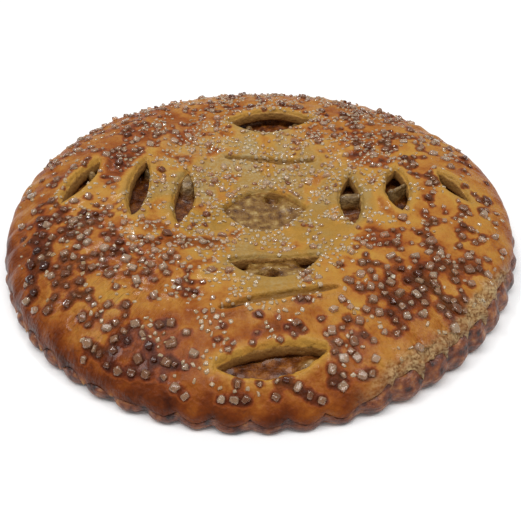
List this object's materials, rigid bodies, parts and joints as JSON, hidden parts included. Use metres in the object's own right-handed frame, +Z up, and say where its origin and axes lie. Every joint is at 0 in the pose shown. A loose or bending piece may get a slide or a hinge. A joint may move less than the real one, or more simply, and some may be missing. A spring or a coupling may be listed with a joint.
{
  "type": "apple pie",
  "caption": "Round double-crust pie with a fluted edge, a low domed lid with cut vents that show the fruit filling, and coarse sugar crystals baked onto it.",
  "frame": {"origin": "centre of the pie, on the surface it rests on", "axes": "+Z up; the front of the pie faces -Y, and +X is to the right seen from the front"},
  "size_m": [0.1796, 0.1796, 0.0214],
  "materials": {
    "base_pastry": "dark baked pastry, matte",
    "apple_filling": "cooked apple in syrup, moist",
    "lid_pastry": "egg-washed puff pastry with coarse sugar, satin"
  },
  "bodies": {
    "root": {"base_crust": "base_pastry", "filling": "apple_filling", "lid": "lid_pastry"}
  },
  "joints": []
}
